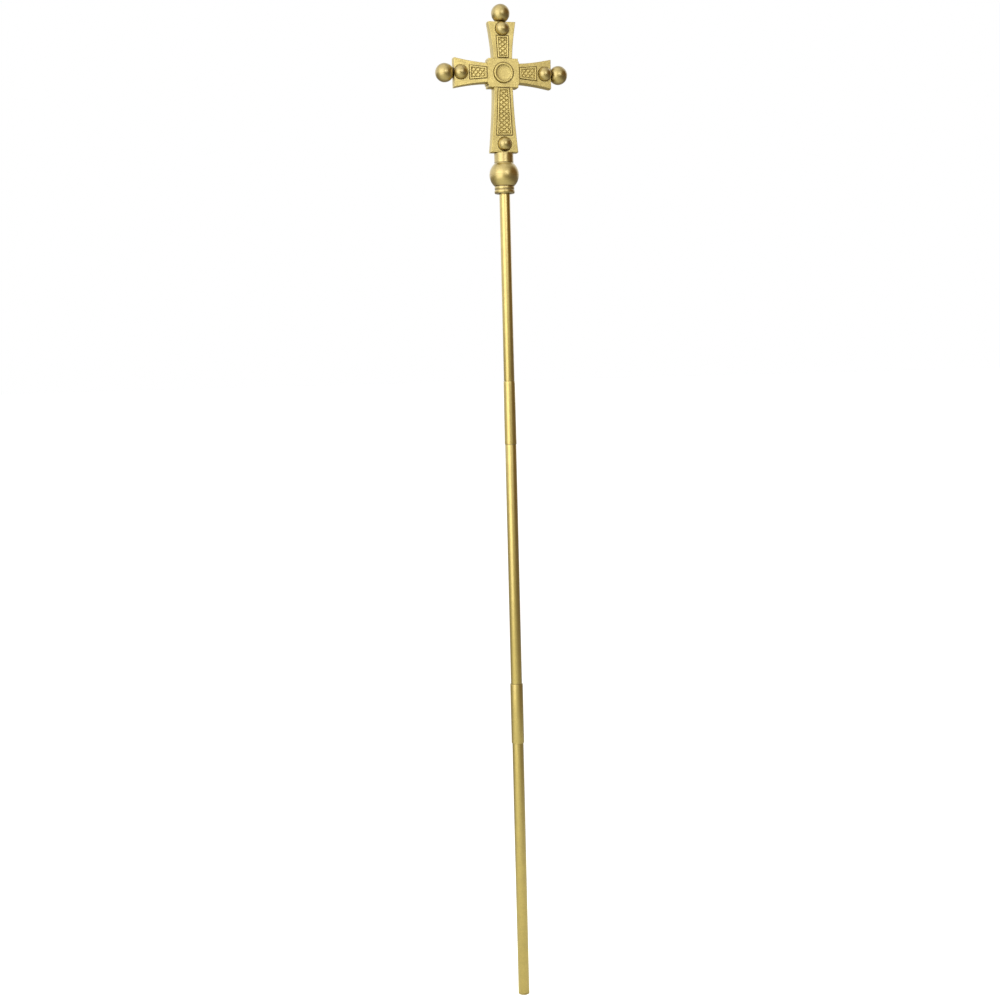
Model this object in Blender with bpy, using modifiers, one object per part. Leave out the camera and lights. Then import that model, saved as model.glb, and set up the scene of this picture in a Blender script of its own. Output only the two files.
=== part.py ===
"""Processional cross: a flared, two-sided cross head on a three-section take-down pole.

Metres, +Z up. The origin is the middle of the foot's flat underside, the pole runs up +Z,
and the front of the cross faces -Y. Back and front of the head are alike.
"""
import math

import bmesh
import bpy

# Driving dimensions of the whole object
TOTAL_HEIGHT = 1.800
GAP = 0.0003                     # clearance between pieces that rest on each other
TURNING_STEPS = 24               # sides of the tubes, knop and collars
SMALL_STEPS = 16                 # sides of the balls and domes
PIN_STEPS = 8                    # sides of pegs, rods and the holes for them
ARC_POINTS = 5                   # points along each flared edge of an arm

# Cross head, measured from the crossing
ARM_SIDE = 0.0886                # crossing to the end of a side arm
ARM_TOP = 0.0895                 # crossing to the end of the top arm
ARM_BOTTOM = 0.1381              # crossing to the end of the bottom arm
ROOT_HALF = 0.0173               # half width of an arm where it leaves the centre block
SIDE_END_HALF = 0.0262           # half width of a side arm at its end
TALL_END_HALF = 0.0254           # half width of the top and bottom arms at their ends
FLARE_POWER = 1.5                # how late the arms flare out
BLOCK_WIDE = 0.0290              # half width of the centre block
BLOCK_TALL = 0.0254              # half height of the centre block
BLOCK_STEP = (0.0017, 0.0050)    # step in each corner of the block, across and along
BLOCK_RISE = 0.0010              # how far the block stands above the arms
BLOCK_MARGIN = 0.0003            # how far the raised face is set back from the block's edge
PLATE_HALF = 0.0115              # half thickness of the cross
WALL = 0.0025                    # wall of the two cross shells

# Trim on the cross
STUD_RADIUS = 0.0122
STUD_HEIGHT = 0.0114
STUD_SIDE = 0.0764               # crossing to the centre of a side stud
STUD_TOP = 0.0768
STUD_BOTTOM = 0.1232
BOSS_RADIUS = 0.0050
PANEL_HEIGHT = 0.0018
PANEL_FRAME = 0.0020
PANEL_FLOOR = 0.0008
PANEL_SIZES = {                  # near and far end from the crossing, half width at each
    "top": (0.0269, 0.0641, 0.0092, 0.0107),
    "bottom": (0.0269, 0.1076, 0.0098, 0.0140),
    "left": (0.0306, 0.0608, 0.0090, 0.0119),
    "right": (0.0306, 0.0608, 0.0090, 0.0119),
}
MEDALLION_OUTER = 0.0174
MEDALLION_INNER = 0.0136
MEDALLION_HEIGHT = 0.0026
RING_SHOULDER = 0.55             # share of the ring's height where its outer edge starts to round
RING_LIP = 0.70                  # the same for its inner edge
RING_CROWN = (0.90, 0.95)        # share of the height beside the crown, outside and inside
DISC_THICKNESS = 0.0012
DISC_MIDDLE = 0.0007             # thickness of the disc at its middle
DISC_DISH = 0.0008               # and part of the way out to its rim
DISH_SHARE = 0.6                 # how far out that is, as a share of the rim's radius
DISC_PEG_RADIUS = 0.0030
BALL_RADIUS = 0.0165
BALL_SEAT = 0.0150               # ball centre to its flat seat

# Frame inside the cross, and its fasteners
FRAME_HALF_WIDTH = 0.0060
FRAME_HALF_DEPTH = 0.0030
TONGUE_DEPTH = 0.0085            # how far the frame reaches down into the neck
ROD_RADIUS = 0.0018
PEG_RADIUS = 0.0018
HOLE_PLAY = 0.0005               # radial room that a hole leaves for its rod or peg
ROD_REACH = 0.0060               # how far a rod or peg enters a stud or ball
PEG_GRIP = 0.0055                # how far a peg enters the inner frame

# Neck, knop and collar
NECK_RADIUS = 0.0173
NECK_HEIGHT = 0.0165
TENON_RADIUS = 0.0096
TENON_LENGTH = 0.0150
KNOP_RADIUS = 0.0263
KNOP_DROP = 0.0213               # knop's rim to the middle of its ball
KNOP_WALL = 0.0018
SHOULDER_RADIUS = 0.0174
COLLAR_HEIGHT = 0.0130
COLLAR_RADIUS = 0.0179
COLLAR_GROOVE = 0.0012           # depth of the groove between the beads
COLLAR_LIP = 0.0006              # height of the flat lip at the bottom edge
BEAD_SHARE = 0.42                # bead's height as a share of the collar's
BEAD_PITCH = 0.48                # from one bead to the next, as the same share
BEAD_SLOPE = 0.2                 # share of a bead's height taken by each sloping edge
BEAD_GROWTH = 0.0003             # how much wider the lower bead is
CORE_RADIUS = 0.0118             # tube that holds collar and knop together
CORE_STOP = 0.0030               # height of the rib between tenon and pole

# Pole
TUBE_WALL = 0.0010
LOWER_RADIUS = 0.0102
MIDDLE_RADIUS = 0.01005
UPPER_RADIUS = 0.0095
SOCKET_PLAY = 0.0003             # radial room between a tube and its socket
SLEEVE_RADIUS = 0.0114
SLEEVE_BOTTOM = 0.4744
SLEEVE_TOP = 0.5842
SLEEVE_RIB = 0.0030              # height of the rib between the two tubes
FERRULE_BOTTOM = 1.0228
FERRULE_TOP = 1.1362
FERRULE_MOUTH_RADIUS = 0.01077
SPIGOT_REACH = 0.0940            # how far the middle section plugs into the ferrule
SPIGOT_GRIP = 0.0600             # how far a spigot is fixed in its own tube
FOOT_THICKNESS = 0.0030
FOOT_GRIP = 0.0180

# Heights that follow from the dimensions above
CROSSING_Z = TOTAL_HEIGHT - ARM_TOP - GAP - BALL_SEAT - BALL_RADIUS
NECK_TOP = CROSSING_Z - ARM_BOTTOM - GAP
NECK_BOTTOM = NECK_TOP - NECK_HEIGHT
KNOP_TOP = NECK_BOTTOM - GAP
KNOP_Z = KNOP_TOP - KNOP_DROP
KNOP_BOTTOM = KNOP_Z - math.sqrt(KNOP_RADIUS ** 2 - COLLAR_RADIUS ** 2)
COLLAR_TOP = KNOP_BOTTOM - GAP
COLLAR_BOTTOM = COLLAR_TOP - COLLAR_HEIGHT
TENON_BOTTOM = NECK_BOTTOM - TENON_LENGTH
CORE_TOP = KNOP_TOP
CORE_BOTTOM = COLLAR_BOTTOM + GAP
UPPER_TUBE_TOP = TENON_BOTTOM - CORE_STOP - 2 * GAP

# Colour, metallic value and roughness of each finish
FINISHES = {
    "satin_gold_casting": ((0.66, 0.49, 0.16), 0.85, 0.42),
    "relief_gold_casting": ((0.60, 0.44, 0.13), 0.85, 0.45),
    "bright_gold_turning": ((0.70, 0.51, 0.17), 0.95, 0.28),
    "gold_tube": ((0.64, 0.47, 0.14), 0.95, 0.30),
    "bare_metal": ((0.60, 0.60, 0.58), 1.00, 0.40),
}

FRONT, BACK = -1.0, 1.0
SIDES = {"front": FRONT, "back": BACK}
ARM_DIRECTIONS = {"top": (0.0, 1.0), "bottom": (0.0, -1.0), "left": (-1.0, 0.0), "right": (1.0, 0.0)}


def clear_scene():
    for item in list(bpy.data.objects):
        bpy.data.objects.remove(item, do_unlink=True)


def new_collection(name):
    collection = bpy.data.collections.new(name)
    bpy.context.scene.collection.children.link(collection)
    return collection


clear_scene()
PARTS = new_collection("processional_cross")
CUTTERS = new_collection("cutters")


def new_material(name, finish):
    colour, metallic, roughness = FINISHES[finish]
    material = bpy.data.materials.new(name)
    material.use_nodes = True
    shader = material.node_tree.nodes["Principled BSDF"]
    shader.inputs["Base Color"].default_value = (*colour, 1.0)
    shader.inputs["Metallic"].default_value = metallic
    shader.inputs["Roughness"].default_value = roughness
    return material


def add_part(name, data, finish):
    part = bpy.data.objects.new(name, data)
    part.data.materials.append(new_material(name, finish))
    PARTS.objects.link(part)
    return part


def add_cutter(name, data):
    cutter = bpy.data.objects.new(name, data)
    cutter.hide_render = True
    cutter.display_type = 'WIRE'
    CUTTERS.objects.link(cutter)
    return cutter


def boolean(part, tool, operation):
    modifier = part.modifiers.new(tool.name, 'BOOLEAN')
    modifier.operation = operation
    modifier.object = tool


def arc(centre, radius, first, last, count, squash=1.0):
    """Profile points (radius, height) from one angle to another, in degrees from the top."""
    points = []
    for index in range(count + 1):
        angle = math.radians(first + (last - first) * index / count)
        points.append((radius * math.sin(angle), centre + squash * radius * math.cos(angle)))
    return points


def turn(item, steps):
    screw = item.modifiers.new("Turn", 'SCREW')
    screw.axis = 'Z'
    screw.angle = 2 * math.pi
    screw.steps = steps
    screw.render_steps = steps
    screw.use_merge_vertices = True
    screw.merge_threshold = 0.00001
    screw.use_smooth_shade = True


def profile_mesh(name, profile, ring):
    """Profile of a turned piece: it runs down the outer side; a ring joins up with its start."""
    mesh = bpy.data.meshes.new(name)
    shape = bmesh.new()
    points = [shape.verts.new((radius, 0.0, height)) for radius, height in profile]
    for first, second in zip(points, points[1:]):
        shape.edges.new((first, second))
    if ring:
        shape.edges.new((points[-1], points[0]))
    shape.to_mesh(mesh)
    shape.free()
    return mesh


def turned_part(name, profile, finish, steps=TURNING_STEPS, ring=False):
    part = add_part(name, profile_mesh(name, profile, ring), finish)
    turn(part, steps)
    return part


def tube_profile(outer, inner, bottom, top):
    return [(outer, top), (outer, bottom), (inner, bottom), (inner, top)]


def tube_part(name, outer, inner, bottom, top, finish):
    return turned_part(name, tube_profile(outer, inner, bottom, top), finish, ring=True)


def flat_outline(name, points, first_y, second_y):
    """Mesh of an outline given as (x, z), filled between two depths along Y."""
    curve = bpy.data.curves.new(name, 'CURVE')
    curve.dimensions = '2D'
    curve.fill_mode = 'BOTH'
    curve.extrude = abs(second_y - first_y) / 2
    spline = curve.splines.new('POLY')
    spline.points.add(len(points) - 1)
    for point, (x, z) in zip(spline.points, points):
        point.co = (x, z, 0.0, 1.0)
    spline.use_cyclic_u = True
    guide = bpy.data.objects.new(name, curve)
    CUTTERS.objects.link(guide)
    bpy.context.view_layer.update()
    mesh = bpy.data.meshes.new_from_object(guide.evaluated_get(bpy.context.evaluated_depsgraph_get()))
    bpy.data.objects.remove(guide, do_unlink=True)
    shape = bmesh.new()
    shape.from_mesh(mesh)
    bmesh.ops.remove_doubles(shape, verts=shape.verts, dist=0.00001)
    for end in (-1.0, 1.0):
        cap = [face for face in shape.faces if all(end * vertex.co.z > 0.0 for vertex in face.verts)]
        bmesh.ops.dissolve_faces(shape, faces=cap)
    middle_y = (first_y + second_y) / 2
    for vertex in shape.verts:
        x, z, depth = vertex.co
        vertex.co = (x, middle_y - depth, z)
    shape.to_mesh(mesh)
    shape.free()
    return mesh


def raise_to_crossing(*items):
    for item in items:
        item.location.z = CROSSING_Z


def rod_mesh(name, radius, length, middle=0.0):
    """Cylinder along Z, with its middle at the given height."""
    mesh = bpy.data.meshes.new(name)
    shape = bmesh.new()
    bmesh.ops.create_cone(shape, cap_ends=True, segments=PIN_STEPS, radius1=radius,
                          radius2=radius, depth=length)
    bmesh.ops.translate(shape, vec=(0.0, 0.0, middle), verts=shape.verts)
    shape.to_mesh(mesh)
    shape.free()
    return mesh


def rod_cutter(name, radius, length, location, rotation):
    """Cylinder used as a cutter, or joined on as a boss."""
    cutter = add_cutter(name, rod_mesh(name, radius, length))
    cutter.location = location
    cutter.rotation_euler = rotation
    return cutter


def box_mesh(name, size, centre):
    mesh = bpy.data.meshes.new(name)
    shape = bmesh.new()
    bmesh.ops.create_cube(shape, size=1.0)
    bmesh.ops.scale(shape, vec=size, verts=shape.verts)
    bmesh.ops.translate(shape, vec=centre, verts=shape.verts)
    shape.to_mesh(mesh)
    shape.free()
    return mesh


# Cross head

def arm_edge(start, length, end_half, inset):
    """One flared edge of an arm, from the centre block outwards, as (along, half width)."""
    points = []
    for index in range(ARC_POINTS + 1):
        share = index / ARC_POINTS
        along = start + (length - inset - start) * share
        half = ROOT_HALF + (end_half - ROOT_HALF) * share ** FLARE_POWER
        points.append((along, half - inset))
    return points


def block_corner(inset):
    """Stepped corner of the centre block in the first quadrant, from the side arm to the top."""
    across, along = BLOCK_STEP
    wide = BLOCK_WIDE - inset
    tall = BLOCK_TALL - inset
    return [(wide, tall - along), (wide - across, tall - along), (wide - across, tall)]


def cross_outline(inset=0.0):
    """Anticlockwise outline of the cross as (x, z), moved inwards by the inset."""
    side = arm_edge(BLOCK_WIDE, ARM_SIDE, SIDE_END_HALF, inset)
    top = arm_edge(BLOCK_TALL, ARM_TOP, TALL_END_HALF, inset)
    bottom = arm_edge(BLOCK_TALL, ARM_BOTTOM, TALL_END_HALF, inset)
    corner = block_corner(inset)
    root = ROOT_HALF - inset
    wide = BLOCK_WIDE - inset
    tall = BLOCK_TALL - inset
    right_top = [(x, half) for x, half in reversed(side)][:-1] + [(wide, root)] + corner
    right_top += [(root, tall)] + [(half, z) for z, half in top][1:]
    left_top = [(-x, z) for x, z in reversed(right_top)]
    right_bottom = [(half, -z) for z, half in reversed(bottom)][:-1] + [(root, -tall)]
    right_bottom += [(x, -z) for x, z in reversed(corner)] + [(wide, -root)]
    right_bottom += [(x, -half) for x, half in side][1:]
    left_bottom = [(-x, z) for x, z in reversed(right_bottom)]
    return right_top + left_top + left_bottom + right_bottom


def block_outline():
    corner = block_corner(BLOCK_MARGIN)
    quarter_turned = corner + [(-x, z) for x, z in reversed(corner)]
    return quarter_turned + [(-x, -z) for x, z in quarter_turned]


def stud_places():
    """Centre of each stud as (x, z) from the crossing."""
    return {"left": (-STUD_SIDE, 0.0), "right": (STUD_SIDE, 0.0), "top": (0.0, STUD_TOP),
            "bottom": (0.0, -STUD_BOTTOM)}


def across_rod(name, radius, place, first_y, second_y):
    x, z = place
    location = (x, (first_y + second_y) / 2, CROSSING_Z + z)
    return rod_cutter(name, radius, abs(second_y - first_y), location, (math.pi / 2, 0.0, 0.0))


def cross_shell(side_name, side):
    """Half of the hollow cross: open at the parting plane, with a boss behind each stud."""
    name = "cross_shell_" + side_name
    face = side * PLATE_HALF
    part = add_part(name, flat_outline(name, cross_outline(), side * GAP / 2, face), "satin_gold_casting")
    block = add_cutter(name + "_block", flat_outline(name + "_block", block_outline(), side * WALL,
                                                     face + side * BLOCK_RISE))
    inner_face = face - side * WALL
    pocket = add_cutter(name + "_pocket", flat_outline(name + "_pocket", cross_outline(WALL),
                                                       -side * WALL, inner_face))
    raise_to_crossing(part, block, pocket)
    boolean(part, block, 'UNION')
    boolean(part, pocket, 'DIFFERENCE')
    boss_end = side * (FRAME_HALF_DEPTH + GAP)
    for place_name, place in stud_places().items():
        boss = across_rod(name + "_boss_" + place_name, BOSS_RADIUS, place, boss_end,
                          inner_face + side * WALL / 2)
        boolean(part, boss, 'UNION')
    for place_name, place in stud_places().items():
        hole = across_rod(name + "_hole_" + place_name, ROD_RADIUS + HOLE_PLAY, place, 0.0,
                          face + side * WALL)
        boolean(part, hole, 'DIFFERENCE')
    disc_hole = across_rod(name + "_disc_hole", DISC_PEG_RADIUS + HOLE_PLAY, (0.0, 0.0),
                           inner_face - side * WALL, face + side * WALL)
    boolean(part, disc_hole, 'DIFFERENCE')
    for hole in end_hole_cutters(name):
        boolean(part, hole, 'DIFFERENCE')


def end_hole_cutters(name):
    """Holes in the end walls: round ones for the ball pegs, a flat one for the frame's tongue."""
    radius = PEG_RADIUS + HOLE_PLAY
    side_hole = rod_cutter(name + "_side_pegs", radius, 2 * (ARM_SIDE + WALL), (0.0, 0.0, CROSSING_Z),
                           (0.0, math.pi / 2, 0.0))
    top_hole = rod_cutter(name + "_top_peg", radius, 4 * WALL, (0.0, 0.0, CROSSING_Z + ARM_TOP),
                          (0.0, 0.0, 0.0))
    slot_size = (2 * (FRAME_HALF_WIDTH + GAP), 2 * (FRAME_HALF_DEPTH + GAP), 4 * WALL)
    slot = add_cutter(name + "_slot", box_mesh(name + "_slot", slot_size,
                                               (0.0, 0.0, CROSSING_Z - ARM_BOTTOM)))
    return side_hole, top_hole, slot


def inner_frame():
    """Flat cross-shaped bar inside the shells; its tongue stands in the neck."""
    half = FRAME_HALF_WIDTH
    right = ARM_SIDE - WALL - 2 * GAP
    top = ARM_TOP - WALL - 2 * GAP
    bottom = -ARM_BOTTOM - TONGUE_DEPTH
    outline = [(right, half), (half, half), (half, top), (-half, top), (-half, half), (-right, half),
               (-right, -half), (-half, -half), (-half, bottom), (half, bottom), (half, -half),
               (right, -half)]
    part = add_part("inner_frame", flat_outline("inner_frame", outline, -FRAME_HALF_DEPTH,
                                                FRAME_HALF_DEPTH), "bare_metal")
    raise_to_crossing(part)
    for place_name, place in stud_places().items():
        hole = across_rod("frame_hole_" + place_name, ROD_RADIUS + HOLE_PLAY, place,
                          -2 * FRAME_HALF_DEPTH, 2 * FRAME_HALF_DEPTH)
        boolean(part, hole, 'DIFFERENCE')
    radius = PEG_RADIUS + HOLE_PLAY
    depth = 2 * (PEG_GRIP + GAP)
    for sign in (-1.0, 1.0):
        bore = rod_cutter("frame_bore_" + ("left" if sign < 0 else "right"), radius, depth,
                          (sign * right, 0.0, CROSSING_Z), (0.0, math.pi / 2, 0.0))
        boolean(part, bore, 'DIFFERENCE')
    boolean(part, rod_cutter("frame_bore_top", radius, depth, (0.0, 0.0, CROSSING_Z + top),
                             (0.0, 0.0, 0.0)), 'DIFFERENCE')


def stud_rods():
    """Rods that clamp each front stud to its back stud through shells and frame."""
    length = 2 * (PLATE_HALF + ROD_REACH)
    for place_name, (x, z) in stud_places().items():
        rod = add_part("stud_rod_" + place_name, rod_mesh("stud_rod", ROD_RADIUS, length), "bare_metal")
        rod.location = (x, 0.0, CROSSING_Z + z)
        rod.rotation_euler = (math.pi / 2, 0.0, 0.0)


def arm_ends():
    """Place of each finial's seat on an arm's end, and the tilt that turns +Z outwards."""
    return {"left": ((-ARM_SIDE, 0.0, CROSSING_Z), -math.pi / 2),
            "right": ((ARM_SIDE, 0.0, CROSSING_Z), math.pi / 2),
            "top": ((0.0, 0.0, CROSSING_Z + ARM_TOP), 0.0)}


def place_on_arm_end(piece, place, tilt):
    piece.location = place
    piece.rotation_euler = (0.0, tilt, 0.0)


def ball_pegs():
    """Pegs that hold the three finial balls on the ends of the arms."""
    inner_end = -WALL - 2 * GAP - PEG_GRIP
    for place_name, (place, tilt) in arm_ends().items():
        mesh = rod_mesh("ball_peg", PEG_RADIUS, ROD_REACH - inner_end, (ROD_REACH + inner_end) / 2)
        place_on_arm_end(add_part("ball_peg_" + place_name, mesh, "bare_metal"), place, tilt)


def finial_balls():
    """Balls with a flat seat and a blind bore, each turned about the line of its arm."""
    centre = GAP + BALL_SEAT
    seat_angle = math.degrees(math.acos(-BALL_SEAT / BALL_RADIUS))
    bore = PEG_RADIUS + HOLE_PLAY
    bore_top = ROD_REACH + GAP
    profile = arc(centre, BALL_RADIUS, 0.0, seat_angle, 10)
    profile += [(bore, GAP), (bore, bore_top), (0.0, bore_top)]
    for place_name, (place, tilt) in arm_ends().items():
        ball = turned_part("finial_ball_" + place_name, profile, "bright_gold_turning", SMALL_STEPS)
        place_on_arm_end(ball, place, tilt)


def facing(side):
    """Rotation that turns a piece's local +Z out of the front or back face."""
    return (-side * math.pi / 2, 0.0, 0.0)


def studs(side_name, side):
    """Domed studs, one on each arm, drilled for the rods."""
    bore = ROD_RADIUS + HOLE_PLAY
    bore_top = ROD_REACH + GAP
    profile = arc(0.0, STUD_RADIUS, 0.0, 90.0, 6, STUD_HEIGHT / STUD_RADIUS)
    profile += [(bore, 0.0), (bore, bore_top), (0.0, bore_top)]
    for place_name, (x, z) in stud_places().items():
        stud = turned_part("stud_" + place_name + "_" + side_name, profile, "bright_gold_turning",
                           SMALL_STEPS)
        stud.location = (x, side * (PLATE_HALF + GAP), CROSSING_Z + z)
        stud.rotation_euler = facing(side)


def medallion(side_name, side):
    """Raised bezel ring with a dished disc set in it, on the centre block."""
    seat = side * (PLATE_HALF + BLOCK_RISE + GAP)
    middle = (MEDALLION_OUTER + MEDALLION_INNER) / 2
    crown = (MEDALLION_OUTER - MEDALLION_INNER) / 4
    outer_crown, inner_crown = RING_CROWN
    ring_profile = [(middle, MEDALLION_HEIGHT), (middle + crown, MEDALLION_HEIGHT * outer_crown),
                    (MEDALLION_OUTER, MEDALLION_HEIGHT * RING_SHOULDER), (MEDALLION_OUTER, 0.0),
                    (MEDALLION_INNER, 0.0), (MEDALLION_INNER, MEDALLION_HEIGHT * RING_LIP),
                    (middle - crown, MEDALLION_HEIGHT * inner_crown)]
    ring = turned_part("medallion_ring_" + side_name, ring_profile, "satin_gold_casting", ring=True)
    rim = MEDALLION_INNER - GAP
    disc_profile = [(0.0, DISC_MIDDLE), (rim * DISH_SHARE, DISC_DISH),
                    (rim, DISC_THICKNESS), (rim, 0.0), (DISC_PEG_RADIUS, 0.0),
                    (DISC_PEG_RADIUS, -WALL), (0.0, -WALL)]
    disc = turned_part("medallion_disc_" + side_name, disc_profile, "satin_gold_casting")
    for piece in (ring, disc):
        piece.location = (0.0, seat, CROSSING_Z)
        piece.rotation_euler = facing(side)


def panel_shapes():
    """Along-arm start and end, half width at each, and the arm's direction for every panel."""
    shapes = {}
    for place_name, direction in ARM_DIRECTIONS.items():
        shapes[place_name] = (*PANEL_SIZES[place_name], direction)
    return shapes


def panel_outline(shape, margin):
    """Four corners of a tapered panel, moved inwards by the margin."""
    start, end, start_half, end_half, (across, up) = shape
    corners = [(start + margin, margin - start_half), (end - margin, margin - end_half),
               (end - margin, end_half - margin), (start + margin, start_half - margin)]
    return [(along * across - half * up, along * up + half * across) for along, half in corners]


def panels(side_name, side):
    """Framed panels with a sunk floor, which carry the lattice relief."""
    seat = side * (PLATE_HALF + GAP)
    top = seat + side * PANEL_HEIGHT
    floor = seat + side * PANEL_FLOOR
    for place_name, shape in panel_shapes().items():
        name = "panel_" + place_name + "_" + side_name
        part = add_part(name, flat_outline(name, panel_outline(shape, 0.0), seat, top),
                        "relief_gold_casting")
        sunk = add_cutter(name + "_floor", flat_outline(name + "_floor", panel_outline(shape, PANEL_FRAME),
                                                        floor, top + side * PANEL_HEIGHT))
        raise_to_crossing(part, sunk)
        boolean(part, sunk, 'DIFFERENCE')


# Neck, knop and collar

def neck():
    """Neck with a slot on top for the frame's tongue and a tenon below."""
    profile = [(0.0, NECK_TOP), (NECK_RADIUS, NECK_TOP), (NECK_RADIUS, NECK_BOTTOM),
               (TENON_RADIUS, NECK_BOTTOM), (TENON_RADIUS, TENON_BOTTOM), (0.0, TENON_BOTTOM)]
    part = turned_part("neck", profile, "bright_gold_turning")
    depth = TONGUE_DEPTH + GAP
    size = (2 * (FRAME_HALF_WIDTH + GAP), 2 * (FRAME_HALF_DEPTH + GAP), 2 * depth)
    boolean(part, add_cutter("neck_slot", box_mesh("neck_slot", size, (0.0, 0.0, NECK_TOP))), 'DIFFERENCE')


def knop_halves():
    """Hollow ball in two spun halves that meet at its widest place, round the core."""
    inner = KNOP_RADIUS - KNOP_WALL
    bore = CORE_RADIUS + SOCKET_PLAY
    rim_angle = math.degrees(math.asin(COLLAR_RADIUS / KNOP_RADIUS))
    shoulder_angle = math.degrees(math.asin(SHOULDER_RADIUS / KNOP_RADIUS))
    inner_angle = math.degrees(math.asin((bore + KNOP_WALL) / inner))
    outer = arc(KNOP_Z, KNOP_RADIUS, shoulder_angle, 90.0, 7)
    inside = arc(KNOP_Z, inner, 90.0, inner_angle, 6)
    upper = [(bore, KNOP_TOP), (SHOULDER_RADIUS, KNOP_TOP)] + outer + inside
    upper += [(bore, KNOP_Z + inner * math.cos(math.radians(inner_angle)))]
    turned_part("knop_upper", upper, "bright_gold_turning", ring=True)
    seam = KNOP_Z - GAP
    outer = arc(seam, KNOP_RADIUS, 90.0, 180.0 - rim_angle, 7)
    inside = arc(seam, inner, 180.0 - inner_angle, 90.0, 6)
    bottom = outer[-1][1]
    lower = outer + [(bore, bottom), (bore, inside[0][1])] + inside
    turned_part("knop_lower", lower, "bright_gold_turning", ring=True)


def socket_collar():
    """Collar under the knop: two beads with a groove between, flared at the bottom edge."""
    bore = CORE_RADIUS + SOCKET_PLAY
    waist = COLLAR_RADIUS - COLLAR_GROOVE
    outer = [(waist, COLLAR_TOP - GAP)]
    bead_height = COLLAR_HEIGHT * BEAD_SHARE
    for bead in range(2):
        top = COLLAR_TOP - GAP - bead * COLLAR_HEIGHT * BEAD_PITCH
        radius = COLLAR_RADIUS + bead * BEAD_GROWTH
        outer += [(radius, top - bead_height * BEAD_SLOPE), (radius, top - bead_height * (1 - BEAD_SLOPE))]
        outer += [(waist, top - bead_height)]
    outer += [(COLLAR_RADIUS, COLLAR_BOTTOM + COLLAR_LIP), (COLLAR_RADIUS, COLLAR_BOTTOM)]
    profile = outer + [(bore, COLLAR_BOTTOM), (bore, COLLAR_TOP - GAP)]
    turned_part("socket_collar", profile, "bright_gold_turning", ring=True)


def socket_core():
    """Tube that takes the neck's tenon from above and the pole from below."""
    tenon_bore = TENON_RADIUS + SOCKET_PLAY
    pole_bore = UPPER_RADIUS + SOCKET_PLAY
    rib = UPPER_RADIUS - 2 * TUBE_WALL
    rib_top = TENON_BOTTOM - GAP
    rib_bottom = rib_top - CORE_STOP
    profile = [(CORE_RADIUS, CORE_TOP), (CORE_RADIUS, CORE_BOTTOM), (pole_bore, CORE_BOTTOM),
               (pole_bore, rib_bottom), (rib, rib_bottom), (rib, rib_top), (tenon_bore, rib_top),
               (tenon_bore, CORE_TOP)]
    turned_part("socket_core", profile, "bare_metal", ring=True)


# Pole

def upper_section():
    """Top tube, the tapered ferrule below it, and the stepped plug that joins them."""
    tube_part("upper_tube", UPPER_RADIUS, UPPER_RADIUS - TUBE_WALL, FERRULE_TOP + GAP, UPPER_TUBE_TOP,
              "gold_tube")
    spigot = MIDDLE_RADIUS - TUBE_WALL - SOCKET_PLAY
    bore = spigot + SOCKET_PLAY
    ferrule = [(LOWER_RADIUS, FERRULE_TOP), (FERRULE_MOUTH_RADIUS, FERRULE_BOTTOM),
               (bore, FERRULE_BOTTOM), (bore, FERRULE_TOP)]
    turned_part("upper_ferrule", ferrule, "gold_tube", ring=True)
    plug_bottom = FERRULE_BOTTOM + SPIGOT_REACH + GAP
    plug_top = FERRULE_TOP + SPIGOT_GRIP
    thin = UPPER_RADIUS - TUBE_WALL - SOCKET_PLAY
    plug = [(0.0, plug_top), (thin, plug_top), (thin, FERRULE_TOP), (spigot, FERRULE_TOP),
            (spigot, plug_bottom), (0.0, plug_bottom)]
    turned_part("upper_spigot", plug, "bare_metal")


def middle_section():
    """Middle tube with the spigot in its top end, which plugs into the ferrule."""
    top = FERRULE_BOTTOM - GAP
    bottom = (SLEEVE_BOTTOM + SLEEVE_TOP + SLEEVE_RIB) / 2 + GAP
    bore = MIDDLE_RADIUS - TUBE_WALL
    tube_part("middle_tube", MIDDLE_RADIUS, bore, bottom, top, "gold_tube")
    spigot = bore - SOCKET_PLAY
    tube_part("middle_spigot", spigot, spigot - TUBE_WALL, top - SPIGOT_GRIP,
              FERRULE_BOTTOM + SPIGOT_REACH, "bare_metal")


def lower_section():
    """Bottom tube with its foot plug, and the coupling sleeve fixed on its top end."""
    rib_bottom = (SLEEVE_BOTTOM + SLEEVE_TOP - SLEEVE_RIB) / 2
    rib_top = rib_bottom + SLEEVE_RIB
    lower_bore = LOWER_RADIUS + SOCKET_PLAY
    middle_bore = MIDDLE_RADIUS + SOCKET_PLAY
    rib = LOWER_RADIUS - TUBE_WALL
    sleeve = [(SLEEVE_RADIUS, SLEEVE_TOP), (SLEEVE_RADIUS, SLEEVE_BOTTOM), (lower_bore, SLEEVE_BOTTOM),
              (lower_bore, rib_bottom), (rib, rib_bottom), (rib, rib_top), (middle_bore, rib_top),
              (middle_bore, SLEEVE_TOP)]
    turned_part("coupling_sleeve", sleeve, "gold_tube", ring=True)
    tube_part("lower_tube", LOWER_RADIUS, rib, FOOT_THICKNESS + GAP, rib_bottom - GAP, "gold_tube")
    plug_radius = rib - SOCKET_PLAY
    plug_top = FOOT_THICKNESS + FOOT_GRIP
    plug = [(0.0, plug_top), (plug_radius, plug_top), (plug_radius, FOOT_THICKNESS),
            (LOWER_RADIUS, FOOT_THICKNESS), (LOWER_RADIUS, 0.0), (0.0, 0.0)]
    turned_part("foot_plug", plug, "gold_tube")


def build():
    lower_section()
    middle_section()
    upper_section()
    socket_core()
    socket_collar()
    knop_halves()
    neck()
    inner_frame()
    stud_rods()
    ball_pegs()
    finial_balls()
    for side_name, side in SIDES.items():
        cross_shell(side_name, side)
        panels(side_name, side)
        studs(side_name, side)
        medallion(side_name, side)


build()
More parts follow.
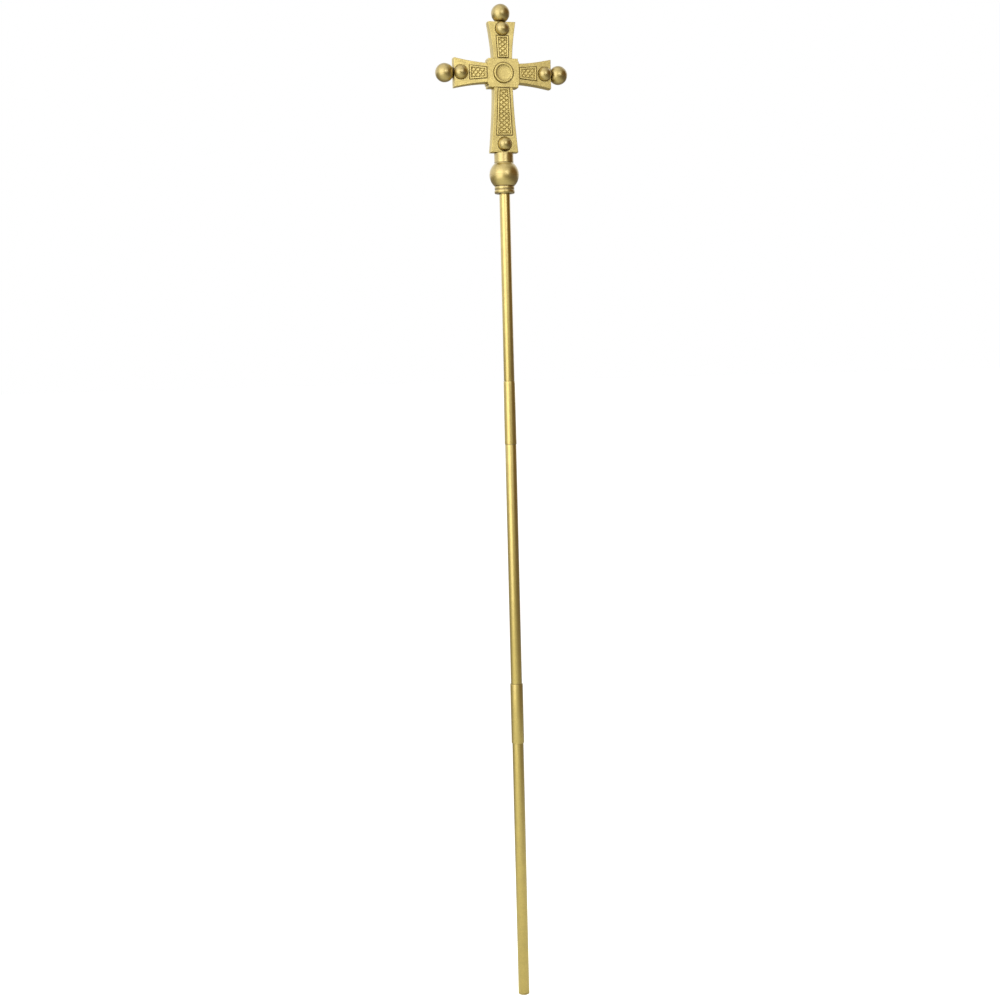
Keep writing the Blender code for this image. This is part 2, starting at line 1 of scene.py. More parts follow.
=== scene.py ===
"""Looks of the processional cross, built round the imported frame.

Metres, +Z up. The middle of the foot's underside is the origin, and the front faces -Y.
"""
import math

import bmesh
import bpy
from mathutils import Matrix, Vector

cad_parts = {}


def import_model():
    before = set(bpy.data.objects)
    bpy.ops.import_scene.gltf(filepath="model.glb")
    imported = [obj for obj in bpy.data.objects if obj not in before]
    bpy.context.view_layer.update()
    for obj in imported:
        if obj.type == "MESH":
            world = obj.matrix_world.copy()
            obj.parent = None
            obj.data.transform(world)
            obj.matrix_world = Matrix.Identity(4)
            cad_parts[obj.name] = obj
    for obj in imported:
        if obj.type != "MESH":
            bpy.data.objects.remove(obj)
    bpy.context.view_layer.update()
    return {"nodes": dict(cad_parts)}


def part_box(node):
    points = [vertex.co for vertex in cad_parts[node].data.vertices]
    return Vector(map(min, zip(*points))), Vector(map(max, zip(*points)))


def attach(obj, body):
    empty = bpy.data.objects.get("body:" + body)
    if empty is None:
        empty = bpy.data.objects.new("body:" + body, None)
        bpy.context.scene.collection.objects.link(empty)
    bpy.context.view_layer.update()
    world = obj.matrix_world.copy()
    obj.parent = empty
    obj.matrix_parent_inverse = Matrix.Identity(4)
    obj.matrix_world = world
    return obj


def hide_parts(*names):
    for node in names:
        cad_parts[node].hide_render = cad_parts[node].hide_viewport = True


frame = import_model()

# Shape of the cross, where the frame's boxes don't give it
ROOT_HALF = 0.0173               # half width of an arm where it leaves the centre block
SIDE_END_HALF = 0.0262           # half width of a side arm at its end
TALL_END_HALF = 0.0254           # half width of the top and bottom arms at their ends
FLARE_POWER = 1.5                # how late the arms flare out
FLARE_STEPS = 14
TIP_CORNER = 0.0009              # rounding of the corners at an arm's end
BLOCK_WIDE = 0.0290              # half width and half height of the centre block
BLOCK_TALL = 0.0254
BLOCK_STEP = (0.0017, 0.0050)    # step in each corner of the block, across and along
BLOCK_RISE = 0.0010              # how far the block stands above the arms
FLANK_DRAFT = 0.0005             # how far an arm's flanks lean in, parting plane to face
END_DRAFT = 0.0004               # the same for an arm's end
BLOCK_DRAFT = 0.0004             # and for the block
BLOCK_ROUND = 0.0006             # rounding of the block's corners and edges
FACE_ROUND = 0.0008              # rounding where the flanks meet the face
ARM_FALL = 0.0026                # how far the faces fall back from the block to an arm's end
SEAM = 0.00025                   # bevel along the parting plane
WALL = 0.0025                    # wall of the two cross shells
POCKET_INSET = (0.0036, 0.0026)  # hollow inside a shell: in from the flanks, and from an arm's end
POCKET_DEPTH = 0.0043
FRAME_HALF_WIDTH = 0.0060        # bar inside the shells
FRAME_HALF_DEPTH = 0.0030
PIN_HOLE = 0.0023                # radius of the holes for rods and pegs
PIN_DEPTH = 0.0063               # and how deep they run into studs and balls
DISC_PEG_RADIUS = 0.0030
GAP = 0.0003                     # between pieces, and round a plug in its bore
BED_DEPTH = 0.0014               # how deep panels, studs and medallion sit in the plate
BED_MARGIN = 0.0014              # and how far the bed reaches past them
CUT_PAST = 0.0040                # how far a cutter reaches past the face
CUT_BEHIND = 0.0010              # and past the parting plane
SEAT_DIP = BED_DEPTH - 0.0001    # how far studs and medallion reach down into their beds
BEZEL_WIDTH = 0.0038             # the medallion's ring, from its outer to its inner edge
BEZEL_ROUND = 0.0014             # rounding of the ring's two top edges
DISH_FLOOR = 0.0004              # height of the dished disc's middle
DISH_RISE = 0.0008               # how much higher the disc is at its rim
DISH_LIP = 0.0013                # height of the disc's outermost edge

# Panels
RIM_HEIGHT = 0.0018
RIM_ROUND = 0.0005               # width over which the rim's outer edge rounds
RIM_SLOPE = (0.0023, 0.0029)     # the rim's inner slope, measured from the panel's edge
RIM_EDGE = 0.0011                # height of the rim's outer edge
PIT_HEIGHT = 0.0003
PAD_HEIGHT = 0.0016              # height of the diamonds between the crossing grooves
GROOVE_HALF = 0.0011             # from a groove's bottom to a diamond's flat top
MOAT = (0.0027, 0.0036)          # sunk band inside the rim, measured from the panel's edge
PITCH_ALONG = 0.0078             # size of a diamond along and across the arm
PITCH_ACROSS = 0.0098
PANEL_GRID = 0.00042             # size of the mesh's cells
PANEL_TAPER = {"top": 0.0015, "bottom": 0.0042, "left": 0.0029, "right": 0.0029}

# Turned pieces
BALL_SEAT = 0.0150               # from a ball's middle to its flat seat
SHOULDER_RADIUS = 0.0174         # where the knop meets the neck
COLLAR_RADIUS = 0.0179           # and where it meets the collar
KNOP_SIDES = 160
SEAM_GROOVE = (0.35, 0.00012)    # line round the knop: half height in degrees, and depth
SLOT_DEPTH = 0.0088              # slot in the neck that the frame's bar stands in
CORE_RADIUS = 0.0118
TENON_RADIUS = 0.0096
TUBE_WALL = 0.0010
KNOP_WALL = 0.0018
FINE = 128                       # sides of the balls, medallion and collar
MEDIUM = 96                      # sides of the studs, tubes and plugs


def middle(node):
    low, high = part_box(node)
    return (low + high) / 2


RING_LOW, RING_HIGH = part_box("medallion_ring_front")
CROSSING_Z = (RING_LOW.z + RING_HIGH.z) / 2
SHELL_LOW, SHELL_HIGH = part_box("cross_shell_front")
ARM_SIDE = SHELL_HIGH.x
ARM_TOP = SHELL_HIGH.z - CROSSING_Z
ARM_BOTTOM = CROSSING_Z - SHELL_LOW.z
BLOCK_FACE = -SHELL_LOW.y
PLATE_HALF = BLOCK_FACE - BLOCK_RISE
MEDALLION_OUTER = RING_HIGH.x
ARMS = {"right": ((1.0, 0.0), ARM_SIDE, SIDE_END_HALF), "top": ((0.0, 1.0), ARM_TOP, TALL_END_HALF),
        "left": ((-1.0, 0.0), ARM_SIDE, SIDE_END_HALF),
        "bottom": ((0.0, -1.0), ARM_BOTTOM, TALL_END_HALF)}
SIDES = {"front": -1.0, "back": 1.0}


# Node helpers

def node(tree, kind, inputs=None, **settings):
    made = tree.nodes.new(kind)
    for key, value in settings.items():
        setattr(made, key, value)
    for key, value in (inputs or {}).items():
        if isinstance(value, bpy.types.NodeSocket):
            tree.links.new(value, made.inputs[key])
        else:
            made.inputs[key].default_value = value
    return made


def scaled(tree, vector, scale):
    return node(tree, 'ShaderNodeVectorMath', {0: vector, 1: scale}, operation='MULTIPLY').outputs[0]


def noise(tree, vector, scale, detail=2.0, rough=0.5):
    return node(tree, 'ShaderNodeTexNoise', {"Vector": vector, "Scale": scale, "Detail": detail,
                                             "Roughness": rough}).outputs[0]


def remap(tree, value, low, high, to_low, to_high):
    return node(tree, 'ShaderNodeMapRange', {0: value, 1: low, 2: high, 3: to_low, 4: to_high}).outputs[0]


def eased(tree, value, low, high, most):
    """Rises smoothly from 0 to the given most, between two values."""
    return node(tree, 'ShaderNodeMapRange', {0: value, 1: low, 2: high, 3: 0.0, 4: most},
                interpolation_type='SMOOTHSTEP').outputs[0]


def maths(tree, operation, first, second):
    return node(tree, 'ShaderNodeMath', {0: first, 1: second}, operation=operation).outputs[0]


def mixed(tree, factor, first, second, blend='MIX'):
    made = node(tree, 'ShaderNodeMix', {0: factor, 6: first, 7: second}, data_type='RGBA',
                blend_type=blend)
    return made.outputs[2]


EDGE_REACH = 0.0006              # how near an edge the gold wears pale: less than the thinnest wall
MOTTLE = 0.16                    # how strongly the blotches and speckles show


def gilt(name, colour, deep_and_shade, worn, roughness, coat, coat_roughness, coat_ior=1.5, grain=900.0,
         grain_bump=0.25, lines=None, line_bump=0.0, painted_shade_reach=0.0025):
    """Lacquered gold metal: mottled, grained, with painted shade darkening its hollows, and paler along its
    edges.
    """
    material = bpy.data.materials.new(name)
    material.use_nodes = True
    tree = material.node_tree
    shader = tree.nodes["Principled BSDF"]
    place = node(tree, 'ShaderNodeTexCoord').outputs["Object"]
    broad = noise(tree, place, 55.0, 3.0, 0.6)
    speckle = noise(tree, place, 380.0, 3.0, 0.6)
    fine = noise(tree, place, grain, 3.0, 0.65)
    tint = mixed(tree, remap(tree, broad, 0.3, 0.7, 0.0, MOTTLE), (*colour, 1.0), (*deep_and_shade, 1.0))
    tint = mixed(tree, remap(tree, speckle, 0.35, 0.75, 0.0, MOTTLE), tint, (*deep_and_shade, 1.0))
    # Painted shade: ambient occlusion pulls the colour towards the deep tone in hollows, grooves and round
    # the bases of raised pieces.
    open_sky = node(tree, 'ShaderNodeAmbientOcclusion', {"Distance": painted_shade_reach}, samples=6).outputs["AO"]
    painted_shade = remap(tree, open_sky, 0.30, 0.92, 0.95, 0.0)
    tint = mixed(tree, painted_shade, tint, (*deep_and_shade, 1.0))
    edge = node(tree, 'ShaderNodeAmbientOcclusion', {"Distance": EDGE_REACH}, inside=True,
                samples=6).outputs["AO"]
    wear = maths(tree, 'MULTIPLY', remap(tree, edge, 0.35, 0.8, 1.0, 0.0),
                 remap(tree, speckle, 0.3, 0.6, 0.2, 0.8))
    tint = mixed(tree, wear, tint, (*worn, 1.0))
    tree.links.new(tint, shader.inputs["Base Color"])
    dull = maths(tree, 'ADD', remap(tree, fine, 0.3, 0.7, roughness - 0.05, roughness + 0.06),
                 maths(tree, 'MULTIPLY', painted_shade, 0.15))
    dull = maths(tree, 'ADD', dull, remap(tree, broad, 0.3, 0.7, -0.03, 0.03))
    tree.links.new(dull, shader.inputs["Roughness"])
    height = node(tree, 'ShaderNodeBump', {"Strength": grain_bump, "Distance": 0.0003, "Height": fine})
    height = node(tree, 'ShaderNodeBump', {"Strength": grain_bump * 0.6, "Distance": 0.0006,
                                           "Height": speckle, "Normal": height.outputs[0]})
    if lines:
        drawn = noise(tree, scaled(tree, place, lines), 1.0, 2.0, 0.6)
        height = node(tree, 'ShaderNodeBump', {"Strength": line_bump, "Distance": 0.0002,
                                               "Height": drawn, "Normal": height.outputs[0]})
    tree.links.new(height.outputs[0], shader.inputs["Normal"])
    shader.inputs["Metallic"].default_value = 1.0
    shader.inputs["Coat Weight"].default_value = coat
    shader.inputs["Coat Roughness"].default_value = coat_roughness
    shader.inputs["Coat IOR"].default_value = coat_ior
    return material


CASTING_GOLD = (0.77, 0.625, 0.225)
TURNED_GOLD = (0.65, 0.490, 0.125)
BEAD_GOLD = (0.58, 0.440, 0.112)
TUBE_GOLD = (0.73, 0.555, 0.125)
# The two deep tones below are the mottle's darker colour and also the colour of the painted shade in
# hollows and lattice grooves.
DEEP_GOLD_AND_SHADE = (0.20, 0.125, 0.022)
GROOVE_GOLD_AND_SHADE = (0.13, 0.08, 0.014)
WORN_GOLD = (0.86, 0.76, 0.44)
RELIEF_GOLD = (0.86, 0.70, 0.26)
# The bare metal's middle tone is its darker mottle and also its painted shade in hollows.
BARE_METAL, BARE_DEEP_AND_SHADE, BARE_WORN = (0.62, 0.61, 0.58), (0.26, 0.25, 0.23), (0.80, 0.80, 0.78)
# painted_shade_reach sets how far the painted shade reaches out of each hollow.
CAST = gilt("cast_satin_gilt", CASTING_GOLD, DEEP_GOLD_AND_SHADE, WORN_GOLD, roughness=0.44, coat=0.35,
            coat_roughness=0.30, grain=700.0, grain_bump=0.38)
RELIEF = gilt("lattice_gilt", RELIEF_GOLD, GROOVE_GOLD_AND_SHADE, WORN_GOLD, roughness=0.42, coat=0.35,
              coat_roughness=0.28, grain=1100.0, grain_bump=0.30, painted_shade_reach=0.0019)
TURNED = gilt("turned_gilt", TURNED_GOLD, DEEP_GOLD_AND_SHADE, WORN_GOLD, roughness=0.36, coat=1.0,
              coat_roughness=0.28, coat_ior=1.95, grain=1100.0, grain_bump=0.12,
              lines=(0.0, 0.0, 2600.0), line_bump=0.05, painted_shade_reach=0.006)
BEAD = gilt("bead_gilt", BEAD_GOLD, DEEP_GOLD_AND_SHADE, WORN_GOLD, roughness=0.38, coat=1.0,
            coat_roughness=0.28, coat_ior=1.95, grain=1100.0, grain_bump=0.14, painted_shade_reach=0.006)
TUBE = gilt("drawn_tube_gilt", TUBE_GOLD, DEEP_GOLD_AND_SHADE, WORN_GOLD, roughness=0.34, coat=1.0,
            coat_roughness=0.24, coat_ior=1.95, grain=1200.0, grain_bump=0.10,
            lines=(900.0, 900.0, 9.0), line_bump=0.08, painted_shade_reach=0.003)
BARE = gilt("bare_machined_metal", BARE_METAL, BARE_DEEP_AND_SHADE, BARE_WORN, roughness=0.36, coat=0.0,
            coat_roughness=0.3, grain=1500.0, grain_bump=0.10, lines=(0.0, 0.0, 3000.0), line_bump=0.10)


# Mesh helpers

def add_piece(name, shape, body, nodes, material, sharp=35.0, weighted=False):
    """Finished piece from a bmesh that is in the row frame already."""
    mesh = bpy.data.meshes.new(name)
    shape.to_mesh(mesh)
    shape.free()
    mesh.materials.append(material)
    mesh.shade_smooth()
    mesh.set_sharp_from_angle(angle=math.radians(sharp))
    piece = bpy.data.objects.new(name, mesh)
    bpy.context.scene.collection.objects.link(piece)
    if weighted:
        modifier = piece.modifiers.new("Normals", 'WEIGHTED_NORMAL')
        modifier.keep_sharp = True
    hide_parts(*nodes)
    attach(piece, body)
    return piece


def rounded(points, closed=False, steps=4):
    """Profile with each corner rounded by the length given as the point's third value."""
    result = []
    for index, point in enumerate(points):
        here = Vector(point[:2])
        if len(point) < 3 or (not closed and index in (0, len(points) - 1)):
            result.append(here)
            continue
        before = Vector(points[index - 1][:2]) - here
        after = Vector(points[(index + 1) % len(points)][:2]) - here
        reach = min(point[2], 0.48 * before.length, 0.48 * after.length)
        start, end = here + before.normalized() * reach, here + after.normalized() * reach
        for step in range(steps + 1):
            share = step / steps
            result.append((1 - share) ** 2 * start + 2 * share * (1 - share) * here + share ** 2 * end)
    return result


def arc(centre, radius, first, last, count, squash=1.0):
    """Profile points (radius, height) between two angles, in degrees from the top."""
    points = []
    for index in range(count + 1):
        angle = math.radians(first + (last - first) * index / count)
        points.append((radius * math.sin(angle), centre + squash * radius * math.cos(angle)))
    return points


def turned(profile, sides=FINE, closed=False):
    """Solid turned about Z from a profile that runs down its outer side."""
    shape = bmesh.new()
    rings = []
    for point in profile:
        count = 1 if point[0] < 1e-7 else sides
        rings.append([shape.verts.new((point[0] * math.cos(2 * math.pi * step / sides),
                                       point[0] * math.sin(2 * math.pi * step / sides), point[1]))
                      for step in range(count)])
    pairs = list(zip(rings, rings[1:]))
    if closed:
        pairs.append((rings[-1], rings[0]))
    for upper, lower in pairs:
        for step in range(sides):
            corners = [upper[step % len(upper)], lower[step % len(lower)],
                       lower[(step + 1) % sides % len(lower)], upper[(step + 1) % sides % len(upper)]]
            corners = list(dict.fromkeys(corners))
            if len(corners) > 2:
                shape.faces.new(corners)
    return shape


def aim(shape, place, out):
    """Moves a shape so that its +Z points along the given direction from the given place."""
    turn = Vector(out).to_track_quat('Z', 'Y').to_matrix().to_4x4()
    bmesh.ops.transform(shape, matrix=Matrix.Translation(place) @ turn, verts=shape.verts)
    return shape


def loft(rings, caps=True):
    """Closed solid through outline rings of equal length, first cap to last."""
    shape = bmesh.new()
    rows = [[shape.verts.new(point) for point in ring] for ring in rings]
    count = len(rows[0])
    for lower, upper in zip(rows, rows[1:]):
        for step in range(count):
            following = (step + 1) % count
            shape.faces.new((lower[step], lower[following], upper[following], upper[step]))
    if caps:
        shape.faces.new(list(reversed(rows[0])))
        shape.faces.new(rows[-1])
    return shape, rows


def prism(points, near, far):
    """Cutter between two depths along Y; points are (x, z) from the crossing."""
    rings = [[(x, depth, CROSSING_Z + z) for x, z in points] for depth in (near, far)]
    shape, rows = loft(rings)
    bmesh.ops.recalc_face_normals(shape, faces=shape.faces)
    return shape


def round_cutter(place, direction, radius, length, sides=32):
    shape = bmesh.new()
    bmesh.ops.create_cone(shape, cap_ends=True, segments=sides, radius1=radius, radius2=radius,
                          depth=length)
    return aim(shape, place, direction)


def box_cutter(centre, size):
    shape = bmesh.new()
    bmesh.ops.create_cube(shape, size=1.0)
    bmesh.ops.scale(shape, vec=size, verts=shape.verts)
    bmesh.ops.translate(shape, vec=centre, verts=shape.verts)
    return shape


def merged(shapes):
    whole = bmesh.new()
    mesh = bpy.data.meshes.new("merge")
    for shape in shapes:
        shape.to_mesh(mesh)
        shape.free()
        whole.from_mesh(mesh)
    bpy.data.meshes.remove(mesh)
    return whole


def combined(shape, steps):
    """Shape after a row of exact booleans; each step is an operation and the tool's shape."""
    items = []
    for index, item in enumerate([shape] + [tool for _, tool in steps]):
        mesh = bpy.data.meshes.new("boolean")
        item.to_mesh(mesh)
        item.free()
        items.append(bpy.data.objects.new("boolean", mesh))
        bpy.context.scene.collection.objects.link(items[-1])
    for (operation, _), tool in zip(steps, items[1:]):
        modifier = items[0].modifiers.new("Boolean", 'BOOLEAN')
        modifier.operation = operation
        modifier.object = tool
        modifier.solver = 'EXACT'
    bpy.context.view_layer.update()
    final = bpy.data.meshes.new_from_object(items[0].evaluated_get(bpy.context.evaluated_depsgraph_get()))
    result = bmesh.new()
    result.from_mesh(final)
    for item in items:
        data = item.data
        bpy.data.objects.remove(item, do_unlink=True)
        bpy.data.meshes.remove(data)
    bpy.data.meshes.remove(final)
    bmesh.ops.remove_doubles(result, verts=result.verts, dist=1e-6)
    return result


# Cross plates

def block_edge(length):
    """Distance from the crossing to the block's edge, for an arm of this length."""
    return BLOCK_WIDE if length == ARM_SIDE else BLOCK_TALL


def half_width(along, length, end_half):
    share = max(0.0, (along - block_edge(length)) / (length - block_edge(length)))
    return ROOT_HALF + (end_half - ROOT_HALF) * share ** FLARE_POWER


def fall(along, length):
    """How far an arm's face has fallen back at this distance from the crossing."""
    return ARM_FALL * max(0.0, (along - block_edge(length)) / (length - block_edge(length)))


def spot(direction, along, across):
    ax, az = direction
    return along * ax - across * az, along * az + across * ax


def arm_ring(flank, end, level):
    """Ring round the four arms, anticlockwise from the front; level gives depth from fall."""
    ring = []
    for direction, length, end_half in ARMS.values():
        tip, start = length - end, block_edge(length)
        edge = []
        for step in range(FLARE_STEPS + 1):
            along = start + (tip - TIP_CORNER - start) * step / FLARE_STEPS
            edge.append((along, half_width(along, length, end_half) - flank))
        last = edge[-1][1]
        edge += [(tip - TIP_CORNER * 0.28, last - TIP_CORNER * 0.10), (tip, last - TIP_CORNER * 0.7)]
        outline = [(along, -half) for along, half in edge] + list(reversed(edge))
        inner = ROOT_HALF - flank
        outline.append((inner, inner))
        for along, across in outline:
            x, z = spot(direction, along, across)
            ring.append((x, level(fall(along, length)), CROSSING_Z + z))
    return ring


def arms_solid(side):
    """Half cross without its block: drafted flanks, rounded face edges, faces that fall back."""
    bevel = 1.0 - FACE_ROUND / PLATE_HALF
    stations = [(SEAM, SEAM, GAP / 2, 0.0), (0.0, 0.0, GAP / 2 + SEAM, 0.0)]
    for turn in range(5):
        angle = math.radians(22.5 * turn)
        inward = FACE_ROUND * (1.0 - math.cos(angle))
        rise = FACE_ROUND * math.sin(angle)
        stations.append((FLANK_DRAFT + inward, END_DRAFT + inward, PLATE_HALF * bevel + rise, 1.0))
    rings = [arm_ring(flank, end, lambda drop, y=y, share=share: side * (y - share * drop))
             for flank, end, y, share in stations]
    shape, rows = loft(rings, caps=False)
    shape.faces.new(list(reversed(rows[0])))
    face = rows[-1]
    per_arm = len(face) // 4
    centre = []
    for index in range(4):
        arm = face[index * per_arm:(index + 1) * per_arm]
        shape.faces.new(arm[:-1])
        centre += [arm[0], arm[-2], arm[-1]]
    shape.faces.new(centre)
    bmesh.ops.recalc_face_normals(shape, faces=shape.faces)
    return shape


def block_solid(side):
    across, along = BLOCK_STEP
    stations = [(SEAM, GAP / 2), (0.0, GAP / 2 + SEAM), (BLOCK_DRAFT, BLOCK_FACE - BLOCK_ROUND),
                (BLOCK_DRAFT + BLOCK_ROUND / 3, BLOCK_FACE - 0.3 * BLOCK_ROUND),
                (BLOCK_DRAFT + BLOCK_ROUND, BLOCK_FACE)]
    rings = []
    for inset, depth in stations:
        wide, tall = BLOCK_WIDE - inset, BLOCK_TALL - inset
        quarter = [(wide, tall - along, BLOCK_ROUND), (wide - across, tall - along, BLOCK_ROUND),
                   (wide - across, tall, BLOCK_ROUND)]
        top = quarter + [(-x, z, r) for x, z, r in reversed(quarter)]
        outline = rounded(top + [(-x, -z, r) for x, z, r in top], closed=True, steps=3)
        rings.append([(x, side * depth, CROSSING_Z + z) for x, z in outline])
    shape, rows = loft(rings)
    bmesh.ops.recalc_face_normals(shape, faces=shape.faces)
    return shape


def panel_limits(place, side_name):
    """Start, end, and half width at each, of a panel along its arm."""
    low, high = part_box("panel_" + place + "_" + side_name)
    (ax, az), _, _ = ARMS[place]
    if az:
        ends = sorted(abs(z - CROSSING_Z) for z in (low.z, high.z))
        wide = high.x
    else:
        ends = sorted(abs(x) for x in (low.x, high.x))
        wide = high.z - CROSSING_Z
    return ends[0], ends[1], wide - PANEL_TAPER[place], wide


def stud_place(place):
    centre = middle("stud_" + place + "_front")
    return centre.x, centre.z - CROSSING_Z


def face_at(x, z):
    """Half thickness of the plate at a place given from the crossing."""
    for direction, length, _ in ARMS.values():
        along = x * direction[0] + z * direction[1]
        if along > block_edge(length):
            return PLATE_HALF - fall(along, length)
    return PLATE_HALF


def bed(points, side, depth):
    """Cutter for a shallow bed that follows the face."""
    rings = []
    for level in (-depth, CUT_PAST):
        rings.append([(x, side * (face_at(x, z) + level), CROSSING_Z + z) for x, z in points])
    shape, rows = loft(rings)
    bmesh.ops.recalc_face_normals(shape, faces=shape.faces)
    return shape


def circle(x, z, radius, count):
    return [(x + radius * math.cos(2 * math.pi * step / count),
             z + radius * math.sin(2 * math.pi * step / count)) for step in range(count)]


def cross_plate(side_name, side):
    ring = arm_ring(*POCKET_INSET, lambda drop: 0.0)
    pocket = prism([(x, z - CROSSING_Z) for x, _, z in ring], -side * CUT_BEHIND,
                   side * POCKET_DEPTH)
    crossing = Vector((0.0, 0.0, CROSSING_Z))
    holes = [round_cutter(crossing + Vector((sign * ARM_SIDE, 0, 0)), (1, 0, 0), PIN_HOLE, 4 * WALL)
             for sign in (-1.0, 1.0)]
    holes.append(round_cutter(crossing + Vector((0, 0, ARM_TOP)), (0, 0, 1), PIN_HOLE, 4 * WALL))
    holes.append(box_cutter(crossing - Vector((0, 0, ARM_BOTTOM)),
                            (2 * (FRAME_HALF_WIDTH + GAP), 2 * (FRAME_HALF_DEPTH + GAP), 4 * WALL)))
    for place in ARMS:
        x, z = stud_place(place)
        holes.append(round_cutter(crossing + Vector((x, side * PLATE_HALF, z)), (0, 1, 0), PIN_HOLE,
                                  PLATE_HALF))
    holes.append(round_cutter(crossing + Vector((0, side * PLATE_HALF, 0)), (0, 1, 0),
                              DISC_PEG_RADIUS + 0.0005, PLATE_HALF))
    panel_beds, round_beds = [], []
    for place, (direction, _, _) in ARMS.items():
        start, end, start_half, end_half = panel_limits(place, side_name)
        margin = BED_MARGIN
        corners = [(start - margin, -start_half - margin), (end + margin, -end_half - margin),
                   (end + margin, end_half + margin), (start - margin, start_half + margin)]
        panel_beds.append(bed([spot(direction, along, across) for along, across in corners], side,
                              BED_DEPTH))
        x, z = stud_place(place)
        low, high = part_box("stud_" + place + "_" + side_name)
        radius = (high.x - low.x) / 2 + BED_MARGIN * 0.6
        round_beds.append(bed(circle(x, z, radius, 64), side, BED_DEPTH))
    ring_bed = prism(circle(0.0, 0.0, MEDALLION_OUTER + BED_MARGIN, MEDIUM),
                     side * (BLOCK_FACE - BED_DEPTH),
                     side * (BLOCK_FACE + CUT_PAST))
    round_beds.append(ring_bed)
    shape = combined(arms_solid(side), [('UNION', block_solid(side)), ('DIFFERENCE', merged(panel_beds)),
                                        ('DIFFERENCE', merged(round_beds)), ('DIFFERENCE', pocket),
                                        ('DIFFERENCE', merged(holes))])
    node_name = "cross_shell_" + side_name
    add_piece("cross_plate_" + side_name, shape, "cross_section", [node_name], CAST,
              sharp=40.0, weighted=True)


# Lattice panels

def smooth(low, high, value):
    share = min(1.0, max(0.0, (value - low) / (high - low)))
    return share * share * (3 - 2 * share)


def groove(line, spacing):
    """Height beside a groove, where whole values of line are the grooves' bottoms."""
    away = abs(line - round(line)) * spacing
    return PIT_HEIGHT + (PAD_HEIGHT - PIT_HEIGHT) * smooth(0.0, GROOVE_HALF, away)


def relief(across, along, edge):
    """Height of a panel's surface above the plate: a rounded rim round a grooved lattice."""
    if edge < RIM_ROUND:
        rim = RIM_HEIGHT - (RIM_HEIGHT - RIM_EDGE) * (1 - edge / RIM_ROUND) ** 2
    else:
        rim = RIM_HEIGHT - (RIM_HEIGHT - PIT_HEIGHT) * smooth(*RIM_SLOPE, edge)
    spacing = 1.0 / math.hypot(1.0 / PITCH_ALONG, 1.0 / PITCH_ACROSS)
    rising = along / PITCH_ALONG + across / PITCH_ACROSS
    falling = along / PITCH_ALONG - across / PITCH_ACROSS
    pads = min(groove(rising, spacing), groove(falling, spacing)) - PIT_HEIGHT
    return max(rim, PIT_HEIGHT + pads * smooth(*MOAT, edge))


def panel(place, side_name, side):
    direction = ARMS[place][0]
    start, end, start_half, end_half = panel_limits(place, side_name)
    rows = round((end - start) / PANEL_GRID)
    columns = round(2 * end_half / PANEL_GRID)
    middle_along = (start + end) / 2
    shape = bmesh.new()
    grid = []
    for row in range(rows + 1):
        along = start + (end - start) * row / rows
        half = start_half + (end_half - start_half) * row / rows
        line = []
        for column in range(columns + 1):
            across = half * (2 * column / columns - 1)
            edge = min(half - abs(across), along - start, end - along)
            height = relief(across, along - middle_along, edge)
            x, z = spot(direction, along, across)
            line.append(shape.verts.new((x, side * (face_at(x, z) + height), CROSSING_Z + z)))
        grid.append(line)
    for first, second in zip(grid, grid[1:]):
        for column in range(columns):
            shape.faces.new((first[column], second[column], second[column + 1], first[column + 1]))
    border = [line[0] for line in grid] + grid[-1][1:] + [line[-1] for line in reversed(grid[:-1])]
    border += list(reversed(grid[0][1:-1]))
    base = []
    for vertex in border:
        x, z = vertex.co.x, vertex.co.z - CROSSING_Z
        base.append(shape.verts.new((x, side * (face_at(x, z) - BED_DEPTH + 0.00015), vertex.co.z)))
    count = len(border)
    for step in range(count):
        following = (step + 1) % count
        shape.faces.new((border[step], border[following], base[following], base[step]))
    shape.faces.new(base)
    bmesh.ops.recalc_face_normals(shape, faces=shape.faces)
    name = "panel_" + place + "_" + side_name
    add_piece("lattice_" + place + "_" + side_name, shape, "cross_section", [name],
              RELIEF, sharp=75.0)


# Trim on the cross

def seat_point(x, z, side, depth):
    return Vector((x, side * depth, CROSSING_Z + z))


def stud(place, side_name, side):
    low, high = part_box("stud_" + place + "_" + side_name)
    radius = (high.x - low.x) / 2
    height = high.y - low.y
    profile = arc(0.0, radius, 0.0, 86.0, 26, height / radius)
    profile += [(radius, 0.0), (radius - GAP, -SEAT_DIP), (PIN_HOLE, -SEAT_DIP), (PIN_HOLE, PIN_DEPTH),
                (0.0, PIN_DEPTH)]
    x, z = stud_place(place)
    direction, length, _ = ARMS[place]
    slope = ARM_FALL / (length - block_edge(length))
    out = Vector((direction[0] * slope, side, direction[1] * slope)).normalized()
    shape = aim(turned(profile, MEDIUM), seat_point(x, z, side, face_at(x, z) + 0.0002), out)
    add_piece("stud_dome_" + place + "_" + side_name, shape, "cross_section",
              ["stud_" + place + "_" + side_name], BEAD)


